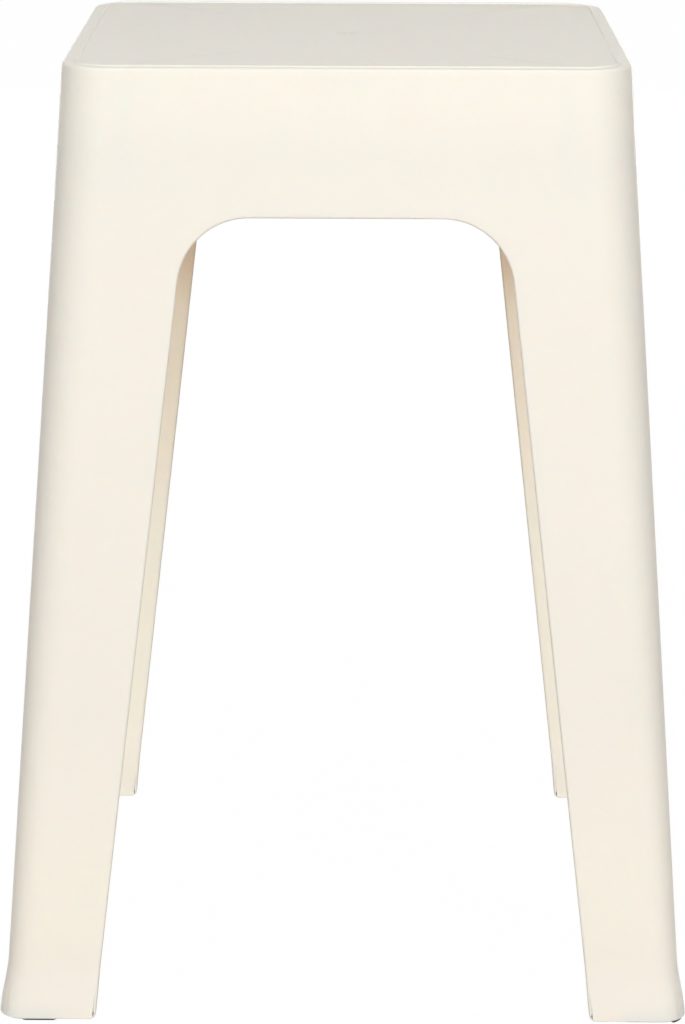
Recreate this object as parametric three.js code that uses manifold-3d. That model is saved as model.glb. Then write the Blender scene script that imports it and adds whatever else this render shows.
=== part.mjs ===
// A stacking stool: one moulded shell with a square seat and four corner legs, on four rubber foot pads.
// Millimetres, +Z up. The origin is on the floor, under the middle of the seat.
import * as THREE from 'three';
import { mergeVertices } from 'three/addons/utils/BufferGeometryUtils.js';
import Module from 'manifold-3d';

const wasm = await Module();
wasm.setup();

// Overall sizes
const stoolHeight = 450;
const seatSide = 260.4;
const baseSide = 322.2;
const seatCornerRadius = 24;
const footCornerRadius = 12;

// Moulded walls
const wallThickness = 2.6;
const seatThickness = 3;
const seatEdgeRadius = 2;
const innerEdgeRadius = 2;

// Low lip round the seat panel, and the gate mark in its middle
const lipHeight = 1.5;
const lipWidth = 2;
const lipInset = 6;
const gateMarkRadius = 5;
const gateMarkDepth = 0.5;
const gatePipRadius = 1.6;
const gatePipHeight = 0.3;

// Arch in each of the four walls: its height, its width at the floor, and its width if its sides ran to the seat
const archHeight = 381;
const archFloorWidth = 235.7;
const archSeatWidth = 131;
const archCornerRadius = 33;
const edgeBeadClearance = 0.04;

// Feet: the outward flare, the thicker wall and the rounded toes at the bottom of each leg
const footFlare = 2.3;
const footFlareTop = 30;
const footFlareBottom = 4;
const footWallThickness = 5.6;
const footWallTop = 46;
const footWallBottom = 8;
const footEdgeChamfer = 0.7;
const footToeRadius = 2.5;

// Rubber pads in the feet
const padProtrusion = 1.4;
const padSeatDepth = 3.2;
const padWidth = 3;
const padReach = 28;
const padClearance = 0.2;
const padTopClearance = 0.3;
const padEdgeChamfer = 0.3;

// Ribs under the seat
const ribHeight = 12;
const ribThickness = 1.8;
const ribDraft = 0.3;
const ribPitch = 56.6;
const gateBossRadius = 13;
const spokeHeight = 9;

// Stacking ribs in the corners, which stand on the seat of the stool below
const stackingPitch = 56;
const stackingRibReach = 15;
const stackingRibThickness = 2.2;
const stackingRibSetback = 4;
const stackingRibTaper = 5;

// How far cutting and joining solids run past the faces that they meet, and how deep a joined rib is rooted
const overrun = 5;
const rootDepth = 0.8;

// Facet counts
const cornerSteps = 9;
const flareSteps = 8;
const edgeSteps = 4;
const lipSteps = 8;
const archCornerSteps = 8;
const beadSides = 12;
const footBeadSteps = 6;
const toeSteps = 4;
const roundSteps = 24;

// Heights that follow from the sizes above
const footBottom = padProtrusion;
const landHeight = stoolHeight - lipHeight;
const seatUnderside = landHeight - seatThickness;
const quarterTurn = Math.PI / 2;

// How far the sides of an arch lean inwards for each millimetre of height, and the angle that this makes
const archLean = (archFloorWidth - archSeatWidth) / 2 / landHeight;
const archLeanAngle = Math.atan(archLean);

function mix(from, to, share) {
  return from + (to - from) * share;
}

// 0 at the first height, 1 at the second, with a smooth start and end
function smoothShare(height, start, end) {
  const share = Math.min(Math.max((height - start) / (end - start), 0), 1);
  return share * share * (3 - 2 * share);
}

// The outer form at any height: half the side of the square, its corner radius and the wall's thickness
function outerHalf(z) {
  const taper = mix(baseSide / 2, seatSide / 2, z / landHeight);
  return taper + footFlare * smoothShare(z, footFlareTop, footFlareBottom);
}

function outerRadius(z) {
  return mix(footCornerRadius, seatCornerRadius, z / landHeight);
}

function wallAt(z) {
  return mix(wallThickness, footWallThickness, smoothShare(z, footWallTop, footWallBottom));
}

// Points of a square with rounded corners at one height, counter-clockwise seen from above
function roundedSquare(half, radius, z) {
  const points = [];
  for (let corner = 0; corner < 4; corner++) {
    for (let step = 0; step <= cornerSteps; step++) {
      const angle = quarterTurn * (corner + step / cornerSteps);
      const turn = quarterTurn * corner;
      const centre = new THREE.Vector2(half - radius, half - radius).rotateAround(new THREE.Vector2(), turn);
      points.push(new THREE.Vector3(
        centre.x + radius * Math.cos(angle),
        centre.y + radius * Math.sin(angle),
        z,
      ));
    }
  }
  return points;
}

// A closed solid through a list of sections that all have the same number of points
function loft(sections) {
  const count = sections[0].length;
  const positions = sections.flat().flatMap((point) => point.toArray());
  const index = [];
  for (let row = 0; row + 1 < sections.length; row++) {
    for (let i = 0; i < count; i++) {
      const a = row * count + i;
      const b = row * count + (i + 1) % count;
      index.push(a, b, b + count, a, b + count, a + count);
    }
  }
  const ends = [sections[0], sections[sections.length - 1]];
  ends.forEach((section, end) => {
    const middle = section.reduce((sum, point) => sum.add(point), new THREE.Vector3()).divideScalar(count);
    const centre = positions.length / 3;
    const first = end === 0 ? 0 : (sections.length - 1) * count;
    positions.push(...middle.toArray());
    for (let i = 0; i < count; i++) {
      const a = first + i;
      const b = first + (i + 1) % count;
      index.push(...(end === 0 ? [centre, b, a] : [centre, a, b]));
    }
  });
  const geometry = new THREE.BufferGeometry();
  geometry.setAttribute('position', new THREE.Float32BufferAttribute(positions, 3));
  geometry.setIndex(index);
  return geometry;
}

function toSolid(geometry) {
  const plain = geometry.clone();
  plain.deleteAttribute('normal');
  plain.deleteAttribute('uv');
  const merged = mergeVertices(plain);
  return new wasm.Manifold(new wasm.Mesh({
    numProp: 3,
    vertProperties: new Float32Array(merged.attributes.position.array),
    triVerts: new Uint32Array(merged.index.array),
  }));
}

function toGeometry(solid) {
  const mesh = solid.getMesh();
  const geometry = new THREE.BufferGeometry();
  geometry.setAttribute('position', new THREE.Float32BufferAttribute(mesh.vertProperties, mesh.numProp));
  geometry.setIndex(Array.from(mesh.triVerts));
  geometry.computeVertexNormals();
  return geometry;
}

function joined(solids) {
  return solids.reduce((sum, solid) => sum.add(solid));
}

// Runs a maker for each of the four sides and gives the solids turned into their places
function onFourSides(makeGeometry) {
  return [0, 1, 2, 3].map((side) => toSolid(makeGeometry().rotateZ(side * quarterTurn)));
}

// Heights through the foot's flare and wall taper, from its underside up
function footHeights(steps) {
  const top = Math.max(footWallTop, footFlareTop);
  const start = footBottom + footEdgeChamfer;
  return Array.from({ length: steps + 1 }, (_, i) => mix(start, top, i / steps));
}

// Outside of the shell: foot, tapered walls, rounded seat edge, flat land, lip and seat panel
function outsideBody() {
  const sections = [];
  const seatEdgeBottom = landHeight - seatEdgeRadius;
  const lowest = footBottom - footEdgeChamfer;
  sections.push(roundedSquare(outerHalf(footBottom) - footEdgeChamfer * 2, outerRadius(footBottom), lowest));
  for (const z of footHeights(flareSteps)) {
    sections.push(roundedSquare(outerHalf(z), outerRadius(z), z));
  }
  for (let step = 0; step <= edgeSteps; step++) {
    const angle = quarterTurn * step / edgeSteps;
    const inset = seatEdgeRadius * (1 - Math.cos(angle));
    const z = seatEdgeBottom + seatEdgeRadius * Math.sin(angle);
    sections.push(roundedSquare(outerHalf(seatEdgeBottom) - inset, seatCornerRadius - inset, z));
  }
  for (let step = 0; step <= lipSteps; step++) {
    const angle = Math.PI * step / lipSteps;
    const inset = lipInset - lipWidth / 2 * Math.cos(angle);
    const z = landHeight + lipHeight * Math.sin(angle);
    sections.push(roundedSquare(outerHalf(seatEdgeBottom) - inset, seatCornerRadius - inset, z));
  }
  return toSolid(loft(sections));
}

// The hollow inside the walls and under the seat, set in from the outside by the wall
function insideSection(z, half, height) {
  const radius = Math.max(outerRadius(z) - wallAt(z), innerEdgeRadius);
  return roundedSquare(half, radius, height);
}

function hollow(inset) {
  const sections = [];
  const top = seatUnderside + inset;
  const edgeBottom = top - innerEdgeRadius;
  const lowest = footBottom - overrun;
  sections.push(insideSection(footBottom, outerHalf(footBottom) - wallAt(footBottom) + inset, lowest));
  for (const z of [footBottom, ...footHeights(flareSteps)]) {
    sections.push(insideSection(z, outerHalf(z) - wallAt(z) + inset, z));
  }
  for (let step = 0; step <= edgeSteps; step++) {
    const angle = quarterTurn * step / edgeSteps;
    const half = outerHalf(edgeBottom) - wallThickness + inset - innerEdgeRadius * (1 - Math.cos(angle));
    sections.push(insideSection(edgeBottom, half, edgeBottom + innerEdgeRadius * Math.sin(angle)));
  }
  return toSolid(loft(sections));
}

// Half the width of an arch at any height below its corners
function archSide(z) {
  return archFloorWidth / 2 - archLean * z;
}

// The visible outline of an arch, from the right foot over the top to the left foot. Each point has the direction
// that leads into the wall.
function archOutline() {
  const centreZ = archHeight - archCornerRadius;
  const centreX = archSide(centreZ) - archCornerRadius / Math.cos(archLeanAngle);
  const sideNormal = new THREE.Vector2(Math.cos(archLeanAngle), Math.sin(archLeanAngle));
  const right = [];
  for (const z of [footBottom - overrun, ...footHeights(footBeadSteps)]) {
    right.push({ point: new THREE.Vector2(archSide(z), z), normal: sideNormal });
  }
  for (let step = 0; step <= archCornerSteps; step++) {
    const angle = mix(archLeanAngle, quarterTurn, step / archCornerSteps);
    const normal = new THREE.Vector2(Math.cos(angle), Math.sin(angle));
    const point = new THREE.Vector2(centreX, centreZ).addScaledVector(normal, archCornerRadius);
    right.push({ point, normal });
  }
  const left = right.toReversed().map(({ point, normal }) => ({
    point: new THREE.Vector2(-point.x, point.y),
    normal: new THREE.Vector2(-normal.x, normal.y),
  }));
  return [...right, ...left];
}

// The cut stops half a wall short of the visible outline, and the round edge bead fills the rest
function archCutLine() {
  return archOutline().map(({ point, normal }) => {
    const reach = wallAt(point.y) / 2;
    return point.clone().addScaledVector(normal, reach);
  });
}

// A cutter with this outline that runs from front to back through two opposite walls
function throughWalls(shape, curveSegments) {
  const length = baseSide + footFlare * 2 + overrun * 2;
  const geometry = new THREE.ExtrudeGeometry(shape, { depth: length, bevelEnabled: false, curveSegments });
  return geometry.translate(0, 0, -length / 2).rotateX(quarterTurn);
}

function archCutter() {
  return throughWalls(new THREE.Shape(archCutLine()), 1);
}

// Takes the corner off between the arch and the underside of the foot at its right
function toeCutter() {
  const centreZ = footBottom + footToeRadius;
  const centreX = archSide(centreZ) + footToeRadius / Math.cos(archLeanAngle);
  const below = footBottom - overrun;
  const clear = archSide(centreZ) - overrun;
  const shape = new THREE.Shape();
  shape.moveTo(centreX, below);
  shape.absarc(centreX, centreZ, footToeRadius, -quarterTurn, archLeanAngle - quarterTurn * 2, true);
  shape.lineTo(clear, centreZ);
  shape.lineTo(clear, below);
  return throughWalls(shape, toeSteps);
}

// A full-round bead along the edge of the arch in the front wall, as thick as the wall is at each height
function archBead() {
  const line = archCutLine();
  const last = line.length - 1;
  const sections = line.map((point, i) => {
    const ahead = line[Math.min(i + 1, last)];
    const behind = line[Math.max(i - 1, 0)];
    const along = ahead.clone().sub(behind).normalize();
    const across = new THREE.Vector3(along.y, 0, -along.x);
    const inward = new THREE.Vector3(0, 1, 0);
    const wall = wallAt(point.y);
    const radius = wall / 2 - edgeBeadClearance;
    const centre = new THREE.Vector3(point.x, wall / 2 - outerHalf(point.y), point.y);
    return Array.from({ length: beadSides }, (_, k) => {
      const angle = quarterTurn * 4 * (k + 1 / 2) / beadSides;
      return centre.clone()
        .addScaledVector(across, radius * Math.cos(angle))
        .addScaledVector(inward, radius * Math.sin(angle));
    });
  });
  return loft(sections);
}

// A straight rib with a drafted section, hanging from the seat's underside and running along X
function seatRib(length, height) {
  const root = ribThickness / 2;
  const tip = root - ribDraft;
  const shape = new THREE.Shape([
    new THREE.Vector2(-root, rootDepth),
    new THREE.Vector2(-tip, -height),
    new THREE.Vector2(tip, -height),
    new THREE.Vector2(root, rootDepth),
  ]);
  const geometry = new THREE.ExtrudeGeometry(shape, { depth: length, bevelEnabled: false });
  return geometry.rotateX(quarterTurn).rotateZ(quarterTurn).translate(0, 0, seatUnderside);
}

// Diagonal lattice of ribs, with a ring boss under the gate mark and four spokes out to the lattice
function seatRibs() {
  const solids = [];
  const reach = seatSide;
  for (const turn of [quarterTurn / 2, -quarterTurn / 2]) {
    for (let offset = ribPitch / 2; offset < reach / 2 * Math.SQRT2; offset += ribPitch) {
      for (const side of [offset, -offset]) {
        solids.push(toSolid(seatRib(reach * 2, ribHeight).translate(-reach, side, 0).rotateZ(turn)));
      }
    }
  }
  const spokeLength = ribPitch / 2 * Math.SQRT2 - gateBossRadius;
  solids.push(...onFourSides(() => seatRib(spokeLength, spokeHeight).translate(gateBossRadius, 0, 0)));
  const inner = gateBossRadius - ribThickness / 2;
  const outer = gateBossRadius + ribThickness / 2;
  const top = seatUnderside + rootDepth;
  const bottom = seatUnderside - ribHeight;
  const ring = new THREE.LatheGeometry([
    new THREE.Vector2(inner, bottom),
    new THREE.Vector2(outer, bottom),
    new THREE.Vector2(outer, top),
    new THREE.Vector2(inner, top),
    new THREE.Vector2(inner, bottom),
  ], roundSteps).rotateX(quarterTurn);
  solids.push(toSolid(ring));
  return joined(solids).intersect(hollow(rootDepth));
}

// A vertical rib that stands in from the right wall beside a corner and stops a stacking pitch below the seat
function stackingRib(side) {
  const bottom = stoolHeight - stackingPitch;
  const top = seatUnderside + rootDepth;
  const wallFace = (z) => outerHalf(z) - wallThickness;
  const tip = wallFace(top) - stackingRibReach;
  const shape = new THREE.Shape([
    new THREE.Vector2(wallFace(bottom) + rootDepth, bottom),
    new THREE.Vector2(wallFace(top) + rootDepth, top),
    new THREE.Vector2(tip, top),
    new THREE.Vector2(tip, bottom + stackingRibTaper),
    new THREE.Vector2(tip + stackingRibTaper, bottom),
  ]);
  const geometry = new THREE.ExtrudeGeometry(shape, { depth: stackingRibThickness, bevelEnabled: false });
  const place = side * (wallFace(top) - seatCornerRadius - stackingRibSetback);
  return geometry.rotateX(quarterTurn).translate(0, place + stackingRibThickness / 2, 0);
}

function stackingRibs() {
  return joined([1, -1].flatMap((side) => onFourSides(() => stackingRib(side))));
}

// Shallow round mark where the shell was filled, with the cut-off pip in its middle
function gateMark() {
  return toSolid(new THREE.LatheGeometry([
    new THREE.Vector2(0, landHeight - gateMarkDepth + gatePipHeight),
    new THREE.Vector2(gatePipRadius, landHeight - gateMarkDepth),
    new THREE.Vector2(gateMarkRadius - gateMarkDepth, landHeight - gateMarkDepth),
    new THREE.Vector2(gateMarkRadius, landHeight),
    new THREE.Vector2(gateMarkRadius, landHeight + overrun),
    new THREE.Vector2(0, landHeight + overrun),
  ], roundSteps).rotateX(quarterTurn));
}

// Plan of a pad or of its channel: a strip that follows the corner of the foot in the middle of its wall
function padPlan(width, reach) {
  const outside = outerHalf(footBottom);
  const middle = outside - wallAt(footBottom) / 2;
  const middleRadius = footCornerRadius - wallAt(footBottom) / 2;
  const centre = middle - middleRadius;
  const far = outside - reach;
  const shape = new THREE.Shape();
  const outer = middleRadius + width / 2;
  const inner = middleRadius - width / 2;
  shape.moveTo(far, centre + outer);
  shape.absarc(far, centre + middleRadius, width / 2, quarterTurn, -quarterTurn, false);
  shape.absarc(centre, centre, inner, quarterTurn, 0, true);
  shape.absarc(centre + middleRadius, far, width / 2, -quarterTurn * 2, 0, false);
  shape.absarc(centre, centre, outer, 0, quarterTurn, false);
  return shape;
}

function padChannel() {
  const shape = padPlan(padWidth + padClearance * 2, padReach + padClearance);
  const depth = padSeatDepth + padTopClearance + overrun;
  const geometry = new THREE.ExtrudeGeometry(shape, { depth, bevelEnabled: false, curveSegments: cornerSteps });
  return geometry.translate(0, 0, footBottom - overrun);
}

function pad() {
  const geometry = new THREE.ExtrudeGeometry(padPlan(padWidth, padReach), {
    depth: padProtrusion + padSeatDepth - padEdgeChamfer * 2,
    bevelSize: padEdgeChamfer,
    bevelThickness: padEdgeChamfer,
    bevelOffset: -padEdgeChamfer,
    bevelSegments: 1,
    curveSegments: cornerSteps,
  });
  return geometry.translate(0, 0, padEdgeChamfer);
}

function stoolShell() {
  const arches = toSolid(archCutter()).add(toSolid(archCutter().rotateZ(quarterTurn)));
  const floorBlock = new THREE.BoxGeometry(baseSide * 2, baseSide * 2, overrun * 2);
  floorBlock.translate(0, 0, footBottom - overrun);
  const channels = joined(onFourSides(padChannel));
  return outsideBody()
    .subtract(hollow(0))
    .subtract(arches)
    .add(joined(onFourSides(archBead)))
    .add(seatRibs())
    .add(stackingRibs())
    .subtract(gateMark())
    .subtract(toSolid(floorBlock))
    .subtract(joined(onFourSides(toeCutter)))
    .subtract(channels);
}

const moulding = { color: 0xf7f1e2, roughness: 0.42, metalness: 0 };
const rubber = { color: 0x5a524b, roughness: 0.85, metalness: 0 };

const stool = new THREE.Group();

const shellMesh = new THREE.Mesh(toGeometry(stoolShell()), new THREE.MeshStandardMaterial(moulding));
shellMesh.name = 'stool_shell';
stool.add(shellMesh);

const padNames = ['rear_right_foot_pad', 'rear_left_foot_pad', 'front_left_foot_pad', 'front_right_foot_pad'];
padNames.forEach((name, side) => {
  const mesh = new THREE.Mesh(pad(), new THREE.MeshStandardMaterial(rubber));
  mesh.name = name;
  mesh.rotation.z = side * quarterTurn;
  stool.add(mesh);
});

export default stool;
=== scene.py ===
"""A moulded stacking stool on rubber foot pads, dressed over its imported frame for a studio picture."""

import math

import bmesh
import bpy
from mathutils import Matrix, Vector

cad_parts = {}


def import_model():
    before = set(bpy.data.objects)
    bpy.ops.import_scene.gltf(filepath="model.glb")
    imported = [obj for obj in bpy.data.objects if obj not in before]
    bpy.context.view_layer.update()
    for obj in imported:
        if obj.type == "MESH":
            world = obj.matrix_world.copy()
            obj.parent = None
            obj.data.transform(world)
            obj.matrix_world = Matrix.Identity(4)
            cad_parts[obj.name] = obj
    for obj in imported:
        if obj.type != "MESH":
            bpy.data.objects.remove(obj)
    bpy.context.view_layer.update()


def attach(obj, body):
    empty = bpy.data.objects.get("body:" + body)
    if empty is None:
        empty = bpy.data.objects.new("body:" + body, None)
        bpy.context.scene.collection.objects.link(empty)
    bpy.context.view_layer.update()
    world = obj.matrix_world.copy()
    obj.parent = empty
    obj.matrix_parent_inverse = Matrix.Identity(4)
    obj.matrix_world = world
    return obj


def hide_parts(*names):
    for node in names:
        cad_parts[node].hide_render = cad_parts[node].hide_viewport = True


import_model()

MM = 0.001
QUARTER_TURN = math.pi / 2

# Lengths are in millimetres, apart from those that say metres.

# The moulded shell
STOOL_HEIGHT = 450.0
SEAT_SIDE = 260.4
BASE_SIDE = 322.2
SEAT_CORNER = 24.0
FOOT_CORNER = 12.0
WALL = 2.6
SEAT_THICKNESS = 3.0
SEAT_EDGE = 1.5
INNER_EDGE = 2.0

# The walls widen a little again towards the seat
SEAT_FLARE = 0.28
SEAT_FLARE_START = 385.0

# Lip round the seat panel. Its section is half a sine wave to this power, so a lower power is squarer.
LIP_HEIGHT = 0.75
LIP_WIDTH = 1.7
LIP_INSET = 6.1
LIP_POWER = 0.8

# Gate mark in the middle of the panel. Its edge is given from the seat inwards, as a length outside the
# mark's radius and a share of its depth, and its pip as shares of the pip's radius and height.
GATE_RADIUS = 5.0
GATE_DEPTH = 0.5
GATE_MARGIN = 1.5
GATE_EDGE = ((0.4, 0.06), (0.0, 0.28), (-0.5, 0.66), (-1.0, 0.92), (-1.6, 1.0))
GATE_PIP_RADIUS = 1.6
GATE_PIP_HEIGHT = 0.3
GATE_PIP_SHARES = ((1.0, 0.0), (0.8, 0.8), (0.4, 1.0), (0.0, 1.0))

# Arch in each wall: its width at the floor, and its width if its sides ran to the seat
ARCH_HEIGHT = 381.0
ARCH_FLOOR_WIDTH = 235.7
ARCH_SEAT_WIDTH = 131.0
ARCH_CORNER = 33.0
ARCH_FLARE = 0.4
EDGE_ROUND = 1.3

# Feet: the outward flare, the thicker wall and the rounded toes
FOOT_FLARE = 2.3
FLARE_TOP = 28.0
FLARE_BOTTOM = 2.0
FOOT_WALL = 5.6
FOOT_WALL_TOP = 46.0
FOOT_WALL_BOTTOM = 8.0
FOOT_EDGE_ROUND = 0.8
FOOT_CORNER_ROUND = 3.2

# Rubber pads. Their round ends start at a small angle in radians, and their lower edges are rounded.
PAD_PROTRUSION = 1.4
PAD_SEAT_DEPTH = 3.2
PAD_WIDTH = 3.0
PAD_REACH = 28.0
PAD_CLEARANCE = 0.2
PAD_TOP_CLEARANCE = 0.3
PAD_EDGE = 0.3
PAD_EDGE_SHARE = 0.8
PAD_END_ANGLE = 0.06

# The front pads sit deep in their channels but for one stretch each, given as where it starts and ends along
# the pad from its end at the front, and how far it stays off the floor
PAD_SUNK = 0.95
PAD_RAMP = 1.5
PROUD_STRETCH = {"front_right_foot_pad": (21.6, 27.2, 0.0), "front_left_foot_pad": (31.0, 44.5, 0.35)}

# Ribs under the seat, and the boss under the gate mark
RIB_HEIGHT = 12.0
RIB_THICKNESS = 1.8
RIB_DRAFT = 0.3
RIB_PITCH = 56.6
RIB_ROOT = 0.8
RIB_TIP_ROUND = 0.25
RIBS_EACH_SIDE = 2
GATE_BOSS_RADIUS = 13.0
BOSS_EDGE = 0.3
SPOKE_HEIGHT = 9.0

# Stacking ribs in the corners, which stand on the seat of the stool below
STACKING_PITCH = 56.0
STACKING_REACH = 15.0
STACKING_THICKNESS = 2.2
STACKING_SETBACK = 4.0
STACKING_TAPER = 5.0
STACKING_SIDE_EDGE = 0.3
STACKING_BEND_RUN = 1.2
STACKING_BEND_RISE = 0.35

# Heights and leans that follow from the sizes, or are chosen with them
FOOT_BOTTOM = PAD_PROTRUSION
LAND = 448.5
SEAT_TOP = 448.9
UNDERSIDE = LAND - SEAT_THICKNESS
CHANNEL_DEPTH = PAD_SEAT_DEPTH + PAD_TOP_CLEARANCE
ARCH_LEAN = (ARCH_FLOOR_WIDTH - ARCH_SEAT_WIDTH) / 2 / LAND
ARCH_LEAN_ANGLE = math.atan(ARCH_LEAN)

# Where the mesh's rows and columns run: the share of the wall's flat that lies above the arch's flat top, the
# height at which the last row from the arch's corner meets the diagonal, the height over which the rows turn
# to follow the foot and the share of that turn in their heights, the column just past the end of a channel,
# and a ring on the seat's underside
SEAT_FLAT_SHARE = 0.72
POST_ARC_END = 330.0
FOOT_PULL_HEIGHT = 14.0
FOOT_PULL_SHARE = 0.5
CHANNEL_STEP = 0.05
UNDERSIDE_RING = 60.0

# How finely the shell and the pads are divided
COLUMNS = 28
ARCH_TOP_STEPS = 10
ARC_SEAT_STEPS = 6
CORNER_STEPS = 10
ARC_POST_STEPS = 12
LEG_STEPS = 42
FLARE_STEPS = 22
FOOT_ROUND_STEPS = 4
TOE_STEPS = 9
EDGE_STEPS = 5
LIP_STEPS = 12
PANEL_STEPS = 10
BOSS_STEPS = 48
PAD_END_STEPS = 8
PAD_STRAIGHT_STEPS = 24
PAD_CORNER_STEPS = 14
PAD_EDGE_STEPS = 3

# How close points are merged and edges taken out, in metres, and the angle in degrees that stays sharp
MERGE_DISTANCE = 1e-6
SHORTEST_EDGE = 1e-7
SHARP_ANGLE = 35.0

# Small steps, for measuring how a wall leans and for telling which places are meant to be the same
LEAN_STEP = 0.2
NEARLY = 0.01

# Which faces count as inside the hollow: shares of the wall's thickness, and how close to the seat's faces
INSIDE_SHARES = (0.35, 0.95)
INSIDE_MARGIN = 0.3

# The plastic's colours, in sRGB, with the hollow's painted warm bounce light and painted shade by height, and
# the tints that multiply them in places
CREAM_DEEP = (246, 241, 230)
CREAM_PALE = (249, 244, 234)
# Painted light in the hollow: painted warm bounce light halfway up, and painted shade under the seat
HOLLOW_PAINTED_LIGHT_AND_SHADE = (
    (170.0, (248, 244, 234)),
    (220.0, (253, 243, 231)),
    (285.0, (255, 243, 229)),
    (315.0, (241, 226, 205)),
)
# Painted shade: the walls' middle a touch darker and cooler, so the band under the seat's edge and the feet
# read lighter
WAIST_PAINTED_SHADE = (0.95, 0.965, 0.985, 1.0)
# Painted shade on the arch's rounded edge, deepest where it has turned out of the wall
ARCH_EDGE_PAINTED_SHADE = (0.80, 0.79, 0.78, 1.0)
GATE_TINT = (0.95, 0.94, 0.92, 1.0)

# Where the plastic's tints and marks fade in, each from its first length to its second
WAIST_FOOT = (60.0, 160.0)
WAIST_SEAT = (437.0, 405.0)
GATE_FILM = (6.4, 4.6)
GATE_FILM_HEIGHT = (SEAT_TOP - 2, SEAT_TOP - 1)
SCUFF = (12.0, 0.0)

# How far the plastic's broad drift and its finer flow marks shift its colour, and how rough it is over these
# marks and, on top of that, where the feet are scuffed
DRIFT_SHARE = 0.7
FLOW_SHARE = 0.3
FLOW_RANGE = (0.3, 0.7)
SATIN_ROUGHNESS = (0.50, 0.56)
SCUFF_ROUGHNESS = 0.12

# Sink lines on the seat run beside its diagonals. They fade in and out as they near its front or back edge.
SINK_OFFSET = 18.0
SINK_WIDTH = 1.8
SINK_DEPTH = 0.6
SINK_START = (55.0, 80.0)
SINK_END = (122.5, 121.0)
SINK_HEIGHT = (SEAT_TOP - 0.4, SEAT_TOP - 0.1)

# The plastic's grain and the rubber's pits
GRAIN_DEPTH = 0.012
PIT_DEPTH = 0.04

# The rubber's colours in sRGB and its roughness, from bare to dusty, and the range of the noise that is dust
RUBBER_BARE = (58, 53, 49)
RUBBER_DUSTY = (82, 76, 69)
RUBBER_ROUGHNESS = (0.62, 0.82)
DUST_COLOUR_RANGE = (0.35, 0.7)
DUST_ROUGHNESS_RANGE = (0.3, 0.7)

# The picture: the camera's place, its angles in radians and its lens
CAMERA_PLACE = (5.76, -1746.1, 665.6)
CAMERA_YAW = -0.0042
CAMERA_ROLL = -0.0039
CAMERA_PITCH = 0.2563
CAMERA_SENSOR = 36.0
CAMERA_LENS = 126.032
CAMERA_CLIP = (50.0, 50000.0)

# Floor and world, in metres. The camera sees both as white, and their colours only light the object.
FLOOR_REACH = 9.0
FLOOR_DROP = 0.0002
FLOOR_COLOUR = (0.86, 0.82, 0.79, 1)
FLOOR_GLOW_SHARE = 0.99
WORLD_COLOUR = (1, 0.985, 0.955, 1)
WORLD_LIGHT = 0.15
WHITE = (1, 1, 1, 1)

# Lamps: name, place and size in metres, height over the origin of the point that each faces, and watts
SOFTBOXES = (
    ("right_softbox", (1.302, -2.793, 1.687), (1.1, 1.1), 0.25, 12.0),
    ("right_high_softbox", (1.177, -2.524, 2.2), (1.1, 1.1), 0.25, 34.0),
    ("left_softbox", (-1.302, -2.793, 1.687), (1.1, 1.1), 0.25, 10.9),
    ("left_high_softbox", (-1.177, -2.524, 2.2), (1.1, 1.1), 0.25, 26.5),
    ("back_low_softbox", (0.0, 3.0, 0.4), (2.4, 0.6), 0.25, 16.4),
    ("back_floor_softbox", (0.0, 2.2, 0.2), (2.4, 0.35), 0.2, 23.9),
    ("top_softbox", (0.0, 0.1, 2.6), (1.6, 1.6), 0.4, 7.8),
)


def mix(a, b, share):
    return a + (b - a) * share


def smooth(value, start, end):
    """0 before start and 1 past end, with a soft turn at both."""
    share = min(max((value - start) / (end - start), 0.0), 1.0)
    return share * share * (3 - 2 * share)


def stretch(start, end, steps):
    """Evenly spaced values after start, up to and with end."""
    return [mix(start, end, i / steps) for i in range(1, steps + 1)]


def heading(angle):
    """The unit direction at an angle, as two numbers."""
    return math.cos(angle), math.sin(angle)


def quarter_round(radius):
    """How far in and how far up the points of a rounded edge are."""
    angles = [QUARTER_TURN * i / EDGE_STEPS for i in range(EDGE_STEPS + 1)]
    return [(radius * (1 - math.cos(angle)), radius * math.sin(angle)) for angle in angles]


def quarter_turns():
    return [Matrix.Rotation(quarter * QUARTER_TURN, 3, "Z") for quarter in range(4)]


# Form of the walls: everything is a function of the height z


def outer_half(z):
    """Half the side of the stool's square."""
    taper = mix(BASE_SIDE / 2, SEAT_SIDE / 2, z / LAND)
    at_foot = FOOT_FLARE * smooth(z, FLARE_TOP, FLARE_BOTTOM)
    at_seat = SEAT_FLARE * smooth(z, SEAT_FLARE_START, LAND)
    return taper + at_foot + at_seat


def outer_corner(z):
    return mix(FOOT_CORNER, SEAT_CORNER, z / LAND)


def wall_at(z):
    return mix(WALL, FOOT_WALL, smooth(z, FOOT_WALL_TOP, FOOT_WALL_BOTTOM))


def flat_length(z):
    """Distance along the wall from its middle to where its corner starts."""
    return outer_half(z) - outer_corner(z)


def far_q(z):
    """Distance along the wall from its middle to the corner's diagonal."""
    return flat_length(z) + outer_corner(z) * math.pi / 4


def arch_side(z):
    """Half the width of the arch, below its corners."""
    return ARCH_FLOOR_WIDTH / 2 - ARCH_LEAN * z - ARCH_FLARE * smooth(z, FLARE_TOP, FLARE_BOTTOM)


def channel_start():
    """Distance along the wall from its middle to the end of the pad's channel."""
    return outer_half(FOOT_BOTTOM) - PAD_REACH - PAD_WIDTH / 2 - PAD_CLEARANCE


def inside_share(p):
    """0 on the outside of the shell and 1 on the faces that look into its hollow, smooth between them."""
    flat, corner = flat_length(p.z), outer_corner(p.z)
    depth = corner - math.hypot(max(abs(p.x) - flat, 0.0), max(abs(p.y) - flat, 0.0))
    below_seat = smooth(p.z, LAND - INSIDE_MARGIN, UNDERSIDE + INSIDE_MARGIN)
    return smooth(depth / wall_at(p.z), *INSIDE_SHARES) * below_seat


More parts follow.
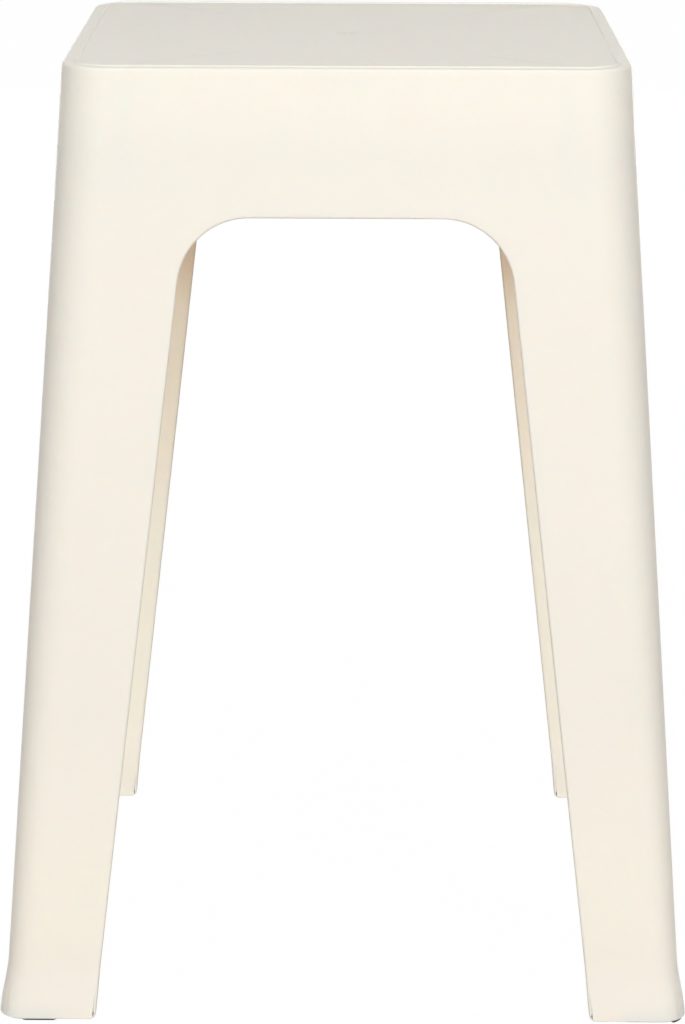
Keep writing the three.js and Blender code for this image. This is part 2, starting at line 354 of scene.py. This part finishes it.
def on_wall(q, z, depth):
    """A point of the front wall's right half, q along it, at a share of its thickness from the outside."""
    flat = flat_length(z)
    inset = depth * wall_at(z)
    if q <= flat:
        return Vector((q, -(outer_half(z) - inset), z))
    angle = (q - flat) / outer_corner(z)
    radius = outer_corner(z) - inset
    return Vector((flat + radius * math.sin(angle), -(flat + radius * math.cos(angle)), z))


def outward(q, z, direction):
    """The direction in space of an in-wall direction, along q and up z, at a point of the wall."""
    flat = flat_length(z)
    if q <= flat:
        lean = (outer_half(z + LEAN_STEP) - outer_half(z - LEAN_STEP)) / (2 * LEAN_STEP)
        return Vector((direction[0], -lean * direction[1], direction[1])).normalized()
    share = (q - flat) / outer_corner(z)
    above = z + LEAN_STEP
    q_above = flat_length(above) + share * outer_corner(above)
    return (on_wall(q_above, above, 0) - on_wall(q, z, 0)).normalized() * direction[1]


# Grid of one eighth of the shell: half a wall, from its middle to the corner's diagonal


def arch_outline():
    """Points (q, z) of half an arch's visible outline, from its top middle to the middle of the toe's
    rounding, each with the direction that leads into the wall. Then the centre of that rounding."""
    centre_z = ARCH_HEIGHT - ARCH_CORNER
    centre_q = arch_side(centre_z) - ARCH_CORNER / math.cos(ARCH_LEAN_ANGLE)
    points = [(centre_q * i / ARCH_TOP_STEPS, ARCH_HEIGHT, 0.0, 1.0) for i in range(ARCH_TOP_STEPS)]
    arc = ARC_SEAT_STEPS + CORNER_STEPS + ARC_POST_STEPS
    for i in range(arc + 1):
        n = heading(mix(QUARTER_TURN, ARCH_LEAN_ANGLE, i / arc))
        points.append((centre_q + ARCH_CORNER * n[0], centre_z + ARCH_CORNER * n[1], *n))
    n = heading(ARCH_LEAN_ANGLE)
    side_top = centre_z + ARCH_CORNER * n[1]
    toe_z = FOOT_BOTTOM + FOOT_CORNER_ROUND
    side_bottom = toe_z - FOOT_CORNER_ROUND * n[1]
    heights = stretch(side_top, FOOT_WALL_TOP, LEG_STEPS) + stretch(FOOT_WALL_TOP, side_bottom, FLARE_STEPS)
    points += [(arch_side(z), z, *n) for z in heights]
    toe_q = arch_side(side_bottom) + FOOT_CORNER_ROUND * n[0]
    for i in range(1, FOOT_ROUND_STEPS + 1):
        n = heading(mix(ARCH_LEAN_ANGLE, QUARTER_TURN, i / FOOT_ROUND_STEPS / 2))
        points.append((toe_q - FOOT_CORNER_ROUND * n[0], toe_z - FOOT_CORNER_ROUND * n[1], *n))
    return points, (toe_q, toe_z)


def arch_edge():
    """The same points moved into the wall by the edge's radius there, each with that radius."""
    outline, toe = arch_outline()
    edge = []
    for q, z, into_q, into_z in outline:
        share = smooth(z, FOOT_BOTTOM + 2 * FOOT_CORNER_ROUND, FOOT_BOTTOM)
        radius = mix(min(wall_at(z) / 2, EDGE_ROUND), FOOT_EDGE_ROUND, share)
        edge.append((q + into_q * radius, z + into_z * radius, into_q, into_z, radius))
    return edge, toe


def foot_edge(toe):
    """The same along the foot's bottom, from the middle of the toe's rounding to the post's diagonal."""
    toe_q, toe_z = toe
    reach = FOOT_CORNER_ROUND - FOOT_EDGE_ROUND
    half_way = mix(ARCH_LEAN_ANGLE, QUARTER_TURN, 0.5)
    edge = []
    for i in range(FOOT_ROUND_STEPS + 1):
        n = heading(mix(half_way, QUARTER_TURN, i / FOOT_ROUND_STEPS))
        edge.append((toe_q - reach * n[0], toe_z - reach * n[1], *n, FOOT_EDGE_ROUND))
    z = FOOT_BOTTOM + FOOT_EDGE_ROUND
    in_channel = channel_start() + CHANNEL_STEP
    rest = COLUMNS - FOOT_ROUND_STEPS - TOE_STEPS - 1
    places = stretch(toe_q, channel_start(), TOE_STEPS) + [in_channel] + stretch(in_channel, far_q(z), rest)
    return edge + [(q, z, 0.0, 1.0, FOOT_EDGE_ROUND) for q in places]


def far_edge(top):
    """Points (q, z) of the wall's upper boundary from its middle to the diagonal, then down the diagonal."""
    flat, corner = flat_length(top), outer_corner(top)
    points = [(flat * SEAT_FLAT_SHARE * i / ARCH_TOP_STEPS, top) for i in range(ARCH_TOP_STEPS)]
    points += [(flat * mix(SEAT_FLAT_SHARE, 1, i / ARC_SEAT_STEPS), top) for i in range(ARC_SEAT_STEPS)]
    points += [(flat + corner * math.pi / 4 * i / CORNER_STEPS, top) for i in range(CORNER_STEPS + 1)]
    toe_top, bottom = FOOT_BOTTOM + FOOT_CORNER_ROUND, FOOT_BOTTOM + FOOT_EDGE_ROUND
    heights = stretch(top, POST_ARC_END, ARC_POST_STEPS) + stretch(POST_ARC_END, FOOT_WALL_TOP, LEG_STEPS)
    heights += stretch(FOOT_WALL_TOP, toe_top, FLARE_STEPS) + stretch(toe_top, bottom, FOOT_ROUND_STEPS)
    return points + [(far_q(z), z) for z in heights]


def wall_grid(arch, foot, top, depth):
    """Rows of points over one face of the wall, from the arch's edge to the diagonal, the foot's row last."""
    rows = []
    for near, far in zip(arch, far_edge(top)):
        pull = smooth(near[1], FOOT_BOTTOM + FOOT_PULL_HEIGHT, arch[-1][1])
        pull_down = 1.0 if near is arch[-1] else pull * FOOT_PULL_SHARE
        row = []
        for j in range(COLUMNS + 1):
            q, z = (mix(near[k], far[k], j / COLUMNS) for k in (0, 1))
            row.append(on_wall(mix(q, foot[j][0], pull), mix(z, foot[j][1], pull_down), depth))
        rows.append(row)
    return rows


def edge_strip(edge, grooved):
    """Rows across the wall's thickness along an edge: a rounded corner, a flat that holds the pad's channel
    where there is one, and a rounded corner."""
    rows = []
    for q, z, into_q, into_z, radius in edge:
        thickness = wall_at(z)
        middle = thickness / 2
        half_channel = min(PAD_WIDTH / 2 + PAD_CLEARANCE, max(middle - radius, 0.0))
        dig = CHANNEL_DEPTH if grooved and q > channel_start() + NEARLY else 0.0
        corner = quarter_round(radius)
        near, far = middle - half_channel, middle + half_channel
        channel = [(near, radius), (near, radius - dig), (far, radius - dig), (far, radius)]
        profile = corner + channel + [(thickness - across, up) for across, up in reversed(corner)]
        out = outward(q, z, (-into_q, -into_z))
        rows.append([on_wall(q, z, across / thickness) + out * up for across, up in profile])
    return rows


def cap_ring(top, inset, z, base_inset=0.0):
    """Points of a ring over one eighth, set in from the wall's outline at its top."""
    flat, corner = flat_length(top), outer_corner(top)
    radius = corner - base_inset - inset
    half = outer_half(top) - base_inset - inset
    ring = []
    for q, _ in far_edge(top)[: ARCH_TOP_STEPS + ARC_SEAT_STEPS + CORNER_STEPS + 1]:
        if q <= flat + NEARLY:
            ring.append(Vector((q, -half, z)))
        else:
            angle = (q - flat) / corner
            ring.append(Vector((flat + radius * math.sin(angle), -(flat + radius * math.cos(angle)), z)))
    return ring


def disc_rings(outline, radii_heights):
    """Rings that pass from an outline to circles about the middle, each with a radius and a height."""
    angles = [math.atan2(p.y, p.x) for p in outline]
    return [
        [Vector((radius * math.cos(angle), radius * math.sin(angle), z)) for angle in angles]
        for radius, z in radii_heights
    ]


def seat_rings():
    """Rings from the walls' top over the rounded edge, the lip and the panel to the gate mark's middle."""
    top = SEAT_TOP - SEAT_EDGE
    rings = [cap_ring(top, inset, top + rise) for inset, rise in quarter_round(SEAT_EDGE)]
    for i in range(LIP_STEPS + 1):
        angle = math.pi * i / LIP_STEPS
        inset = LIP_INSET - LIP_WIDTH / 2 * math.cos(angle)
        rings.append(cap_ring(top, inset, SEAT_TOP + LIP_HEIGHT * math.sin(angle) ** LIP_POWER))
    outline = rings[-1]
    circle = disc_rings(outline, [(GATE_RADIUS + GATE_MARGIN, SEAT_TOP)])[0]
    for i in range(1, PANEL_STEPS + 1):
        rings.append([a.lerp(b, i / PANEL_STEPS) for a, b in zip(outline, circle)])
    floor_z = SEAT_TOP - GATE_DEPTH
    mark = [(GATE_RADIUS + outside, SEAT_TOP - GATE_DEPTH * share) for outside, share in GATE_EDGE]
    mark += [(GATE_PIP_RADIUS * out, floor_z + GATE_PIP_HEIGHT * up) for out, up in GATE_PIP_SHARES]
    return rings + disc_rings(outline, mark)


def underside_rings():
    """Rings from the hollow's walls over their rounded edge to the middle of the seat's underside."""
    top = UNDERSIDE - INNER_EDGE
    rings = [cap_ring(top, inset, top + rise, WALL) for inset, rise in quarter_round(INNER_EDGE)]
    return rings + disc_rings(rings[-1], [(UNDERSIDE_RING, UNDERSIDE), (0.0, UNDERSIDE)])


# Mesh building


class Surface:
    """Collects rows of points as quads, then makes one mesh of them."""

    def __init__(self):
        self.points = []
        self.faces = []
        self.rim = {}

    def add_rows(self, rows, rim=None):
        """Rows of points. A rim says for each place in a row how far it is on the arch's edge."""
        start, width = len(self.points), len(rows[0])
        for row in rows:
            self.points.extend(row)
        if rim:
            self.rim.update((start + i * width + j, rim[j]) for i in range(len(rows)) for j in range(width))
        for i in range(len(rows) - 1):
            for j in range(width - 1):
                a = start + i * width + j
                self.faces.append((a, a + 1, a + width + 1, a + width))

    def add_tube(self, rows, closed=False):
        """Rows that close on themselves, with a flat cap at both ends, or joined end to end where closed."""
        start, width, count = len(self.points), len(rows[0]), len(rows)
        for row in rows:
            self.points.extend(row)
        for i in range(count if closed else count - 1):
            a, b = start + i * width, start + (i + 1) % count * width
            for j in range(width):
                k = (j + 1) % width
                self.faces.append((a + j, a + k, b + k, b + j))
        if not closed:
            self.faces.append(tuple(start + j for j in reversed(range(width))))
            self.faces.append(tuple(start + (count - 1) * width + j for j in range(width)))

    def all_round(self):
        """Mirrors the eighth over its diagonal and turns the pair to all four corners."""
        points, faces, rim = self.points, self.faces, self.rim
        self.points, self.faces, self.rim = [], [], {}
        for turn in quarter_turns():
            for mirrored in (False, True):
                start = len(self.points)
                for p in points:
                    self.points.append(turn @ (Vector((-p.y, -p.x, p.z)) if mirrored else p))
                for face in faces:
                    order = reversed(face) if mirrored else face
                    self.faces.append(tuple(start + i for i in order))
                self.rim.update((start + i, value) for i, value in rim.items())

    def to_object(self, name):
        mesh = bpy.data.meshes.new(name)
        mesh.from_pydata([tuple(p * MM) for p in self.points], [], self.faces)
        if self.rim:
            rim = mesh.attributes.new("rim", "FLOAT", "POINT")
            for i, value in self.rim.items():
                rim.data[i].value = value
        bm = bmesh.new()
        bm.from_mesh(mesh)
        bmesh.ops.remove_doubles(bm, verts=bm.verts, dist=MERGE_DISTANCE)
        bmesh.ops.dissolve_degenerate(bm, edges=bm.edges, dist=SHORTEST_EDGE)
        bmesh.ops.recalc_face_normals(bm, faces=bm.faces)
        bm.to_mesh(mesh)
        bm.free()
        for polygon in mesh.polygons:
            polygon.use_smooth = True
        mesh.set_sharp_from_angle(angle=math.radians(SHARP_ANGLE))
        obj = bpy.data.objects.new(name, mesh)
        bpy.context.scene.collection.objects.link(obj)
        return obj


def shell_surface():
    """Both faces of the walls, the edges of the arches and feet, the seat and its underside."""
    surface = Surface()
    arch, toe = arch_edge()
    foot = foot_edge(toe)
    surface.add_rows(wall_grid(arch, foot, SEAT_TOP - SEAT_EDGE, 0))
    surface.add_rows([row[::-1] for row in wall_grid(arch, foot, UNDERSIDE - INNER_EDGE, 1)])
    # How far each place across the arch's edge has turned out of the wall's plane
    turned = [smooth(i, 1, EDGE_STEPS) for i in range(EDGE_STEPS + 1)] + [1.0, 1.0]
    surface.add_rows(edge_strip(arch, False), turned + turned[::-1])
    surface.add_rows(edge_strip(foot, True))
    surface.add_rows(seat_rings())
    surface.add_rows(underside_rings())
    surface.all_round()
    return surface


def mark_inside(mesh):
    inside = mesh.attributes.new("inside", "FLOAT", "POINT")
    for i, vertex in enumerate(mesh.vertices):
        inside.data[i].value = inside_share(vertex.co / MM)


def add_rib(surface, start, end, height):
    """A drafted rib that hangs from the seat, with a softened tip."""
    root, soft = RIB_THICKNESS / 2, RIB_TIP_ROUND
    tip = root - RIB_DRAFT
    section = [
        (-root, RIB_ROOT),
        (-tip, -height + soft),
        (-tip + soft, -height),
        (tip - soft, -height),
        (tip, -height + soft),
        (root, RIB_ROOT),
    ]
    along = (end - start).normalized()
    across = Vector((-along.y, along.x, 0))
    rows = []
    for base in (start, end):
        rows.append([base + across * a + Vector((0, 0, UNDERSIDE + b)) for a, b in section])
    surface.add_tube(rows)


def add_ribs(surface):
    """The diagonal lattice, and four spokes from the boss out to its first crossings."""
    wall = outer_half(UNDERSIDE) - WALL + RIB_ROOT
    spacing = RIB_PITCH * math.sqrt(2)
    for direction in (1, -1):
        for k in range(-RIBS_EACH_SIDE, RIBS_EACH_SIDE):
            offset = (k + 0.5) * spacing
            ends = []
            # The line y = direction * x + offset, kept inside the square of the walls
            for x in (-wall, wall):
                y = direction * x + offset
                if abs(y) > wall:
                    y = math.copysign(wall, y)
                    x = (y - offset) * direction
                ends.append(Vector((x, y, 0)))
            add_rib(surface, *ends, RIB_HEIGHT)
    for turn in quarter_turns():
        start, end = Vector((GATE_BOSS_RADIUS, 0, 0)), Vector((spacing / 2, 0, 0))
        add_rib(surface, turn @ start, turn @ end, SPOKE_HEIGHT)


def add_gate_boss(surface):
    inner = GATE_BOSS_RADIUS - RIB_THICKNESS / 2
    outer = GATE_BOSS_RADIUS + RIB_THICKNESS / 2
    section = [
        (inner, RIB_ROOT),
        (inner, -RIB_HEIGHT + BOSS_EDGE),
        (inner + BOSS_EDGE, -RIB_HEIGHT),
        (outer - BOSS_EDGE, -RIB_HEIGHT),
        (outer, -RIB_HEIGHT + BOSS_EDGE),
        (outer, RIB_ROOT),
    ]
    rows = []
    for i in range(BOSS_STEPS):
        cos, sin = heading(2 * math.pi * i / BOSS_STEPS)
        rows.append([Vector((r * cos, r * sin, UNDERSIDE + h)) for r, h in section])
    surface.add_tube(rows, closed=True)


def add_stacking_ribs(surface):
    """Two upright ribs from each wall, one beside each corner, with softened edges."""
    bottom, top = STOOL_HEIGHT - STACKING_PITCH, UNDERSIDE + RIB_ROOT
    top_face, bottom_face = (outer_half(z) - WALL for z in (top, bottom))
    tip = top_face - STACKING_REACH
    outline = [
        (bottom_face + RIB_ROOT, bottom),
        (top_face + RIB_ROOT, top),
        (tip, top),
        (tip, bottom + STACKING_TAPER + STACKING_BEND_RUN),
        (tip + STACKING_BEND_RISE, bottom + STACKING_TAPER),
        (tip + STACKING_TAPER, bottom + STACKING_BEND_RISE),
        (tip + STACKING_TAPER + STACKING_BEND_RUN, bottom),
    ]
    on_tip, on_bottom = (2, 3, 4, 5), (0, 4, 5, 6)
    place = top_face - SEAT_CORNER - STACKING_SETBACK
    half, soft = STACKING_THICKNESS / 2, STACKING_SIDE_EDGE
    for side in (1, -1):
        for turn in quarter_turns():
            rows = []
            for offset, shrink in ((-half, soft), (-half + soft, 0), (half - soft, 0), (half, soft)):
                row = []
                for i, (x, z) in enumerate(outline):
                    x += shrink if i in on_tip else 0
                    z += shrink if i in on_bottom else 0
                    row.append(turn @ Vector((x, side * place + offset, z)))
                rows.append(row)
            surface.add_tube(rows)


def pad_path():
    """The pad's middle line round the front right foot, as points with the outward direction and a share of
    the pad's width, which falls at its round ends."""
    outside = outer_half(FOOT_BOTTOM)
    middle = outside - wall_at(FOOT_BOTTOM) / 2
    corner = FOOT_CORNER - wall_at(FOOT_BOTTOM) / 2
    far, turn_start = outside - PAD_REACH, middle - corner
    front = Vector((0, -1, 0))
    half = PAD_WIDTH / 2
    path = []
    for i in range(PAD_END_STEPS):
        cos, sin = heading(mix(PAD_END_ANGLE, QUARTER_TURN, i / PAD_END_STEPS))
        path.append((Vector((far - half * cos, -middle, 0)), front, sin))
    for i in range(PAD_STRAIGHT_STEPS):
        path.append((Vector((mix(far, turn_start, i / PAD_STRAIGHT_STEPS), -middle, 0)), front, 1))
    centre = Vector((turn_start, -turn_start, 0))
    for i in range(PAD_CORNER_STEPS + 1):
        cos, sin = heading(math.pi / 4 * i / PAD_CORNER_STEPS)
        normal = Vector((sin, -cos, 0))
        path.append((centre + normal * corner, normal, 1))
    for p, normal, width in reversed(path[:-1]):
        path.append((Vector((-p.y, -p.x, 0)), Vector((-normal.y, -normal.x, 0)), width))
    return path


def pad_section(reach):
    """Points (across, up) of the pad's section, with rounded lower edges and this reach to each side."""
    soft = min(PAD_EDGE, reach * PAD_EDGE_SHARE)
    corner = [heading(QUARTER_TURN * i / PAD_EDGE_STEPS) for i in range(PAD_EDGE_STEPS + 1)]
    section = [(reach - soft + soft * cos, soft - soft * sin) for cos, sin in corner]
    section += [(-reach + soft - soft * sin, soft - soft * cos) for cos, sin in corner]
    top = PAD_PROTRUSION + PAD_SEAT_DEPTH
    return section + [(-reach, top), (reach, top)]


def pad_surface(turn, proud):
    """A strip of rubber round one foot's corner, as wide as its channel less the clearance. Where a proud
    stretch is given, the rest of its underside is sunk."""
    height = PAD_PROTRUSION + PAD_SEAT_DEPTH
    path = pad_path()
    along, before = -PAD_WIDTH / 2, path[0][0]
    rows = []
    for p, normal, width in path:
        along += (p - before).length
        before = p
        sunk = 0.0
        if proud:
            start, end, rest = proud
            shown = smooth(along, start - PAD_RAMP, start) * smooth(along, end + PAD_RAMP, end)
            sunk = mix(PAD_SUNK, rest, shown)
        row = []
        for across, up in pad_section(PAD_WIDTH / 2 * width):
            lift = Vector((0, 0, max(up, 0.0) + sunk * (1 - up / height)))
            row.append(turn @ (p + normal * across + lift))
        rows.append(row)
    surface = Surface()
    surface.add_tube(rows)
    return surface


# Materials


class Graph:
    """Short calls for the shader nodes that the materials, the floor and the world share."""

    def __init__(self, tree):
        self.nodes, self.links = tree.nodes, tree.links

    def feed(self, socket, value):
        """Links an output to a socket, or sets it to a plain value."""
        if isinstance(value, bpy.types.NodeSocket):
            self.links.new(value, socket)
        else:
            socket.default_value = value

    def coordinates(self):
        return self.nodes.new("ShaderNodeTexCoord").outputs["Object"]

    def split(self, vector):
        node = self.nodes.new("ShaderNodeSeparateXYZ")
        self.feed(node.inputs[0], vector)
        return node.outputs

    def attribute(self, name):
        node = self.nodes.new("ShaderNodeAttribute")
        node.attribute_name = name
        return node.outputs["Fac"]

    def noise(self, coordinates, scale, detail, rough=0.5):
        node = self.nodes.new("ShaderNodeTexNoise")
        self.feed(node.inputs["Vector"], coordinates)
        for key, value in (("Scale", scale), ("Detail", detail), ("Roughness", rough)):
            self.feed(node.inputs[key], value)
        return node.outputs["Fac"]

    def math(self, operation, *inputs):
        node = self.nodes.new("ShaderNodeMath")
        node.operation = operation
        for i, value in enumerate(inputs):
            self.feed(node.inputs[i], value)
        return node.outputs[0]

    def multiply(self, a, b):
        return self.math("MULTIPLY", a, b)

    def remap(self, value, start, end, low, high):
        """Smoothly from low to high as a value passes from start to end."""
        node = self.nodes.new("ShaderNodeMapRange")
        node.interpolation_type = "SMOOTHSTEP"
        keys = ("Value", "From Min", "From Max", "To Min", "To Max")
        for key, number in zip(keys, (value, start, end, low, high)):
            self.feed(node.inputs[key], number)
        return node.outputs["Result"]

    def fade(self, length, start, end, low=0.0, high=1.0):
        """The same for a length in metres, with start and end in millimetres."""
        return self.remap(length, start * MM, end * MM, low, high)

    def blend(self, share, a, b, kind="MIX"):
        """Colour a where the share is 0, and where it is 1 colour b, or a times b if the kind is MULTIPLY."""
        node = self.nodes.new("ShaderNodeMix")
        node.data_type = "RGBA"
        node.blend_type = kind
        for key, value in (("Factor", share), ("A", a), ("B", b)):
            self.feed(node.inputs[key], value)
        return node.outputs["Result"]

    def tint(self, colour, share, by):
        return self.blend(share, colour, by, "MULTIPLY")

    def ramp(self, value, stops):
        """Colours by value, through a list of places and colours with at least two stops."""
        node = self.nodes.new("ShaderNodeValToRGB")
        self.feed(node.inputs["Fac"], value)
        elements = node.color_ramp.elements
        for i, place in ((0, stops[0]), (1, stops[-1])):
            elements[i].position, elements[i].color = place
        for position, colour in stops[1:-1]:
            elements.new(position).color = colour
        return node.outputs["Color"]

    def bump(self, height, distance, strength, before=None):
        node = self.nodes.new("ShaderNodeBump")
        for key, value in (("Distance", distance * MM), ("Strength", strength), ("Height", height)):
            self.feed(node.inputs[key], value)
        if before is not None:
            self.feed(node.inputs["Normal"], before)
        return node.outputs["Normal"]


def new_material(name):
    material = bpy.data.materials.new(name)
    material.use_nodes = True
    return material, Graph(material.node_tree), material.node_tree.nodes["Principled BSDF"]


def srgb(r, g, b):
    """The linear colour of an sRGB one."""

    def linear(c):
        c /= 255
        return c / 12.92 if c <= 0.04045 else ((c + 0.055) / 1.055) ** 2.4

    return (linear(r), linear(g), linear(b), 1.0)


def moulding_colour(graph, coordinates, flow):
    """Cream with a soft drift; painted shade that makes the walls' middle a touch deeper; painted warm bounce
    light and painted shade in the hollow; painted shade on the arch's rounded edge; and darker in the gate
    mark, where handling has left a film."""
    x, y, z = graph.split(coordinates)
    drift = graph.noise(coordinates, scale=9.0, detail=2.0)
    patches = graph.math("ADD", graph.multiply(drift, DRIFT_SHARE), graph.multiply(flow, FLOW_SHARE))
    cream = graph.blend(patches, srgb(*CREAM_DEEP), srgb(*CREAM_PALE))
    # Painted shade on the walls' middle, fading out towards the feet and the seat's edge
    waist_painted_shade = graph.multiply(graph.fade(z, *WAIST_FOOT), graph.fade(z, *WAIST_SEAT))
    walls = graph.tint(cream, waist_painted_shade, WAIST_PAINTED_SHADE)
    # Painted warm bounce light and painted shade in the hollow, by height
    hollow_painted_light = graph.ramp(z, [(height * MM, srgb(*colour)) for height, colour in HOLLOW_PAINTED_LIGHT_AND_SHADE])
    hollow = graph.blend(graph.attribute("inside"), walls, hollow_painted_light)
    # Painted shade on the arch's rounded edge
    with_edge_painted_shade = graph.tint(hollow, graph.attribute("rim"), ARCH_EDGE_PAINTED_SHADE)
    reach = graph.math("SQRT", graph.math("ADD", graph.multiply(x, x), graph.multiply(y, y)))
    film = graph.multiply(graph.fade(reach, *GATE_FILM), graph.fade(z, *GATE_FILM_HEIGHT))
    return graph.tint(with_edge_painted_shade, film, GATE_TINT)


def sink_lines(graph, coordinates):
    """1 along the middle of the sink lines near the seat's front and back edges, 0 beside them."""
    x, y, z = graph.split(coordinates)
    side_x, side_y = graph.math("ABSOLUTE", x), graph.math("ABSOLUTE", y)
    off_diagonal = graph.math("SUBTRACT", side_y, side_x)
    off_line = graph.math("ABSOLUTE", graph.math("SUBTRACT", off_diagonal, SINK_OFFSET * MM))
    line = graph.fade(off_line, 0.0, SINK_WIDTH, 1.0, 0.0)
    ends = graph.multiply(graph.fade(side_y, *SINK_START), graph.fade(side_y, *SINK_END))
    return graph.multiply(graph.multiply(line, ends), graph.fade(z, *SINK_HEIGHT))


def moulding_material():
    """Cream polypropylene: satin, with a fine mould grain, soft colour drift and faint sink lines."""
    material, graph, shader = new_material("cream_moulding")
    coordinates = graph.coordinates()
    flow = graph.noise(coordinates, scale=55.0, detail=4.0, rough=0.6)
    graph.feed(shader.inputs["Base Color"], moulding_colour(graph, coordinates, flow))

    height = graph.split(coordinates)[2]
    scuff = graph.fade(height, *SCUFF, 0.0, SCUFF_ROUGHNESS)
    satin = graph.remap(flow, *FLOW_RANGE, *SATIN_ROUGHNESS)
    graph.feed(shader.inputs["Roughness"], graph.math("ADD", satin, scuff))

    dip = graph.multiply(sink_lines(graph, coordinates), -1.0)
    normal = graph.bump(dip, SINK_DEPTH, strength=1.0)
    grain = graph.noise(coordinates, scale=1900.0, detail=2.0)
    normal = graph.bump(grain, GRAIN_DEPTH, strength=0.5, before=normal)
    graph.feed(shader.inputs["Normal"], normal)
    shader.inputs["Subsurface Weight"].default_value = 0.4
    shader.inputs["Subsurface Scale"].default_value = 0.003
    shader.inputs["Subsurface Radius"].default_value = (1.0, 0.7, 0.45)
    shader.inputs["IOR"].default_value = 1.49
    shader.inputs["Specular IOR Level"].default_value = 0.35
    shader.inputs["Metallic"].default_value = 0.0
    return material


def rubber_material():
    """Dark grey rubber with a dusty, slightly pitted face."""
    material, graph, shader = new_material("pad_rubber")
    coordinates = graph.coordinates()
    dust = graph.noise(coordinates, scale=260.0, detail=5.0, rough=0.65)
    pits = graph.noise(coordinates, scale=2600.0, detail=2.0)
    dusty = graph.remap(dust, *DUST_COLOUR_RANGE, 0.0, 1.0)
    graph.feed(shader.inputs["Base Color"], graph.blend(dusty, srgb(*RUBBER_BARE), srgb(*RUBBER_DUSTY)))
    graph.feed(shader.inputs["Roughness"], graph.remap(dust, *DUST_ROUGHNESS_RANGE, *RUBBER_ROUGHNESS))
    graph.feed(shader.inputs["Normal"], graph.bump(pits, PIT_DEPTH, strength=0.6))
    shader.inputs["Specular IOR Level"].default_value = 0.35
    return material


# The object

moulding = moulding_material()
rubber = rubber_material()

shell = shell_surface()
add_ribs(shell)
add_gate_boss(shell)
add_stacking_ribs(shell)
shell_object = shell.to_object("moulded_shell")
shell_object.data.materials.append(moulding)
mark_inside(shell_object.data)
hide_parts("stool_shell")
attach(shell_object, "root")

pad_nodes = ["front_right_foot_pad", "rear_right_foot_pad", "rear_left_foot_pad", "front_left_foot_pad"]
for turn, node in zip(quarter_turns(), pad_nodes):
    pad = pad_surface(turn, PROUD_STRETCH.get(node)).to_object(node.replace("_foot_pad", "_pad_strip"))
    pad.data.materials.append(rubber)
    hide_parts(node)
    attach(pad, "root")


# Floor, light and camera


def camera_share(graph):
    """1 on rays from the camera, on mirror rays and on rays through glass, else 0."""
    path = graph.nodes.new("ShaderNodeLightPath")
    seen = graph.math("MAXIMUM", path.outputs["Is Camera Ray"], path.outputs["Is Glossy Ray"])
    return graph.math("MAXIMUM", seen, path.outputs["Is Transmission Ray"])


def blend_shaders(graph, share, first, second, output):
    """Feeds an output node with the first shader where the share is 0 and the second where it is 1."""
    blend = graph.nodes.new("ShaderNodeMixShader")
    for i, value in enumerate((share, first.outputs[0], second.outputs[0])):
        graph.feed(blend.inputs[i], value)
    graph.feed(graph.nodes[output].inputs["Surface"], blend.outputs[0])


def floor():
    mesh = bpy.data.meshes.new("studio_floor")
    reach = FLOOR_REACH
    corners = [(-reach, -reach, 0), (reach, -reach, 0), (reach, reach, 0), (-reach, reach, 0)]
    mesh.from_pydata(corners, [], [(0, 1, 2, 3)])
    plane = bpy.data.objects.new("studio_floor", mesh)
    bpy.context.scene.collection.objects.link(plane)
    material, graph, shader = new_material("studio_floor")
    shader.inputs["Base Color"].default_value = FLOOR_COLOUR
    shader.inputs["Roughness"].default_value = 0.9
    glow = graph.nodes.new("ShaderNodeEmission")
    glow.inputs["Color"].default_value = WHITE
    glow.inputs["Strength"].default_value = 1.0
    share = graph.multiply(camera_share(graph), FLOOR_GLOW_SHARE)
    blend_shaders(graph, share, shader, glow, "Material Output")
    mesh.materials.append(material)
    plane.location.z = -FLOOR_DROP


def world():
    studio = bpy.data.worlds.new("studio")
    bpy.context.scene.world = studio
    studio.use_nodes = True
    graph = Graph(studio.node_tree)
    seen = graph.nodes["Background"]
    seen.inputs["Color"].default_value = WHITE
    seen.inputs["Strength"].default_value = 1.0
    light = graph.nodes.new("ShaderNodeBackground")
    light.inputs["Color"].default_value = WORLD_COLOUR
    light.inputs["Strength"].default_value = WORLD_LIGHT
    blend_shaders(graph, camera_share(graph), light, seen, "World Output")


def softbox(name, place, size, target_height, power):
    light = bpy.data.lights.new(name, "AREA")
    light.shape = "RECTANGLE"
    light.size, light.size_y = size
    light.energy = power
    lamp = bpy.data.objects.new(name, light)
    lamp.location = place
    ahead = Vector((0.0, 0.0, target_height)) - Vector(place)
    lamp.rotation_euler = ahead.to_track_quat("-Z", "Y").to_euler()
    bpy.context.scene.collection.objects.link(lamp)


def camera():
    data = bpy.data.cameras.new("camera")
    data.sensor_width = CAMERA_SENSOR
    data.sensor_fit = "AUTO"
    data.lens = CAMERA_LENS
    data.clip_start, data.clip_end = (distance * MM for distance in CAMERA_CLIP)
    cos_yaw, sin_yaw = heading(CAMERA_YAW)
    cos_roll, sin_roll = heading(CAMERA_ROLL)
    cos_pitch, sin_pitch = heading(CAMERA_PITCH)
    ahead = Vector((sin_yaw * cos_pitch, cos_yaw * cos_pitch, -sin_pitch))
    level = Vector((cos_yaw, -sin_yaw, 0))
    below = ahead.cross(level)
    right = level * cos_roll + below * sin_roll
    down = below * cos_roll - level * sin_roll
    turn = Matrix((right, -down, -ahead)).transposed().to_4x4()
    cam = bpy.data.objects.new("camera", data)
    cam.matrix_world = Matrix.Translation(Vector(CAMERA_PLACE) * MM) @ turn
    bpy.context.scene.collection.objects.link(cam)
    bpy.context.scene.camera = cam


floor()
world()
for lamp_sizes in SOFTBOXES:
    softbox(*lamp_sizes)
camera()

bpy.context.scene.view_settings.view_transform = "Standard"
